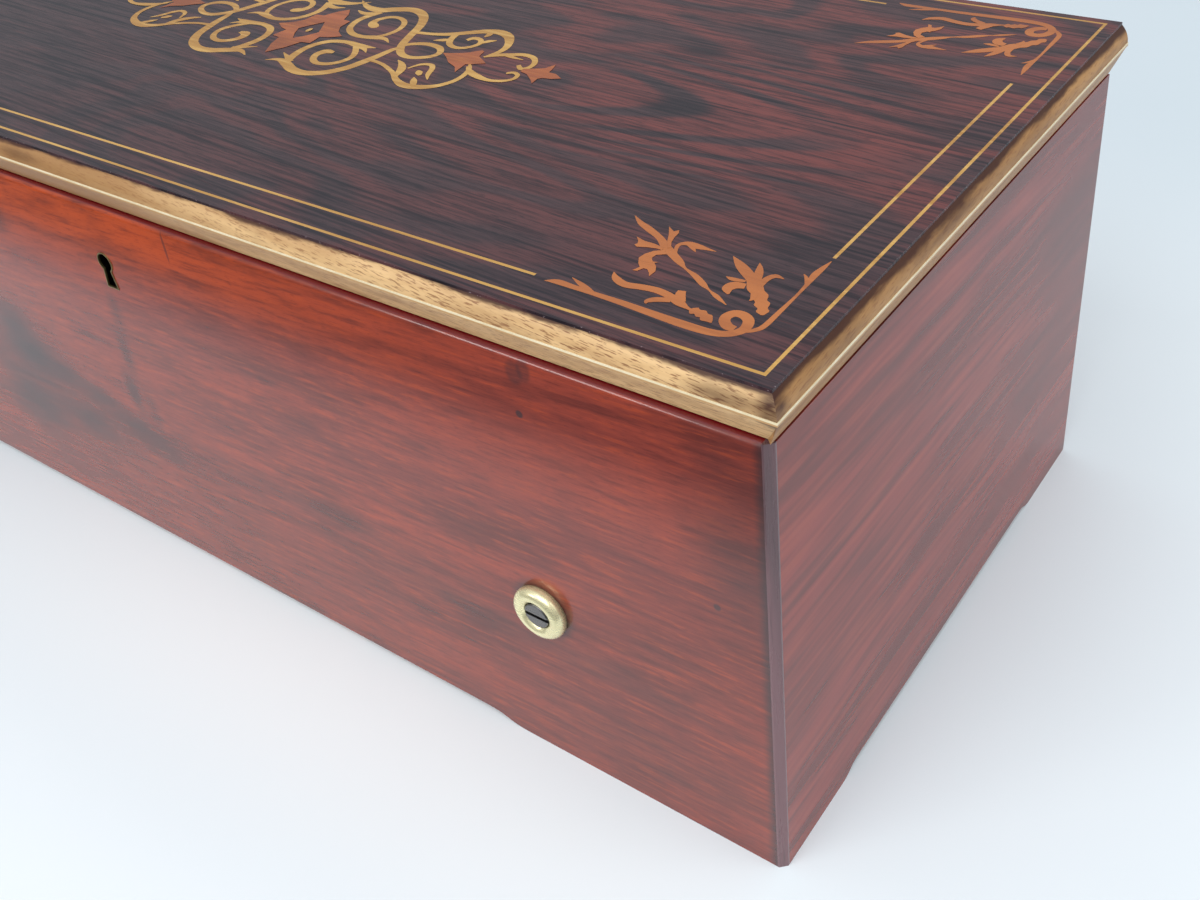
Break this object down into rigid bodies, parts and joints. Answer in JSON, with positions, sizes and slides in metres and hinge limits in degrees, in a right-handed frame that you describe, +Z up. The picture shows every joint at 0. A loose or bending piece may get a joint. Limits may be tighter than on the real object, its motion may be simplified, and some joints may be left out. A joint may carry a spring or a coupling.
{
  "type": "cylinder music box",
  "caption": "Veneered wooden cylinder music box with moulded inlaid lid on hinges, inner glass lid, lock and a lever-wound comb and cylinder movement with governor.",
  "frame": {"origin": "middle of the underside, on the plane of the feet", "axes": "+X along the box to the right as seen from the front, +Y from the front to the back, +Z up"},
  "size_m": [0.4744, 0.2084, 0.161],
  "materials": {
    "mahogany": "gloss polish",
    "bead_wood": "worn polish",
    "rosewood": "satin polish",
    "moulding_wood": "worn satin",
    "boxwood": "satin",
    "carcass_wood": "matte stain",
    "ebonised_wood": "satin polish",
    "turned_grip": "gloss polish",
    "glass": "clear",
    "gilt_brass": "satin lacquer",
    "brass": "polished",
    "steel": "brushed"
  },
  "bodies": {
    "case": {"front_panel": "mahogany", "back_panel": "mahogany", "left_end": "mahogany", "right_end": "mahogany", "corner_beads": "bead_wood", "base_board": "carcass_wood", "left_partition": "carcass_wood", "right_partition": "carcass_wood", "keyhole_escutcheon": "brass", "cup_washers": "brass", "case_screws": "steel", "lock_case": "brass", "hinge_case_leaves": "brass", "hinge_pins": "steel", "glass_ledges": "carcass_wood", "glass_pivots": "brass", "bedplate": "gilt_brass", "comb_base": "gilt_brass", "comb": "steel", "comb_screws": "steel", "left_bridge": "gilt_brass", "right_bridge": "gilt_brass", "barrel_bridge": "gilt_brass", "barrel_arbor": "steel", "ratchet_wheel": "steel", "ratchet_click": "steel", "worm_bracket": "gilt_brass", "governor_plate": "gilt_brass", "lever_bracket": "gilt_brass"},
    "lid": {"lid_board": "carcass_wood", "lid_veneer": "rosewood", "lid_stringing": "boxwood", "lid_edge_stringing": "boxwood", "lid_moulding_front": "moulding_wood", "lid_moulding_left": "moulding_wood", "lid_moulding_right": "moulding_wood", "lid_rails": "carcass_wood", "lock_link_plate": "brass", "hinge_lid_leaves": "brass"},
    "glass_lid": {"glass_frame": "ebonised_wood", "glass_pane": "glass"},
    "bolt": {"lock_bolt": "steel"},
    "winding": {"winding_lever": "steel", "winding_handle": "turned_grip"},
    "cylinder": {"cylinder": "brass", "cylinder_arbor": "steel", "cylinder_pinion": "steel", "cylinder_wheel": "brass", "change_snail": "brass"},
    "barrel": {"barrel_drum": "brass", "barrel_wheel": "brass", "mainspring": "steel"},
    "governor_first": {"first_arbor": "steel", "first_wheel": "brass"},
    "governor_second": {"second_arbor": "steel", "worm_wheel": "brass"},
    "worm_fly": {"worm": "steel", "fly": "brass"},
    "start": {"start_lever": "steel"},
    "change": {"change_lever": "steel"}
  },
  "joints": [
    {"name": "lid_hinge", "type": "hinge", "parent": "case", "child": "lid", "pos_m": [0, 0.1012, 0.14475], "axis": [-1, 0, 0], "range_deg": [0, 95]},
    {"name": "glass_hinge", "type": "hinge", "parent": "case", "child": "glass_lid", "pos_m": [0, 0.082, 0.132], "axis": [-1, 0, 0], "range_deg": [0, 95]},
    {"name": "bolt_slide", "type": "slide", "parent": "case", "child": "bolt", "axis": [1, 0, 0], "range_m": [0, 0.005]},
    {"name": "winding_hinge", "type": "hinge", "parent": "case", "child": "winding", "pos_m": [-0.195, 0.04072, 0.07199], "axis": [-1, 0, 0], "range_deg": [0, 50]},
    {"name": "cylinder_spin", "type": "hinge", "parent": "case", "child": "cylinder", "pos_m": [0, 0.01, 0.0935], "axis": [1, 0, 0], "continuous": true},
    {"name": "barrel_spin", "type": "hinge", "parent": "case", "child": "barrel", "pos_m": [-0.14, 0.04072, 0.07199], "axis": [1, 0, 0], "continuous": true},
    {"name": "first_spin", "type": "hinge", "parent": "case", "child": "governor_first", "pos_m": [0.12, 0.04246, 0.0848], "axis": [1, 0, 0], "continuous": true},
    {"name": "second_spin", "type": "hinge", "parent": "case", "child": "governor_second", "pos_m": [0.125, 0.05278, 0.09955], "axis": [1, 0, 0], "continuous": true},
    {"name": "worm_spin", "type": "hinge", "parent": "case", "child": "worm_fly", "pos_m": [0.131, 0.06318, 0.1], "axis": [0, 0, 1], "continuous": true},
    {"name": "start_hinge", "type": "hinge", "parent": "case", "child": "start", "pos_m": [0.18, 0.03, 0.1], "axis": [1, 0, 0], "range_deg": [0, 24]},
    {"name": "change_hinge", "type": "hinge", "parent": "case", "child": "change", "pos_m": [0.16, -0.03, 0.1], "axis": [-1, 0, 0], "range_deg": [0, 24]}
  ],
  "couplings": [
    {"joint": "glass_hinge", "follows": "lid_hinge", "ratio": 1},
    {"joint": "barrel_spin", "follows": "cylinder_spin", "ratio": -0.25},
    {"joint": "first_spin", "follows": "cylinder_spin", "ratio": -5},
    {"joint": "second_spin", "follows": "cylinder_spin", "ratio": 20},
    {"joint": "worm_spin", "follows": "cylinder_spin", "ratio": -160}
  ]
}
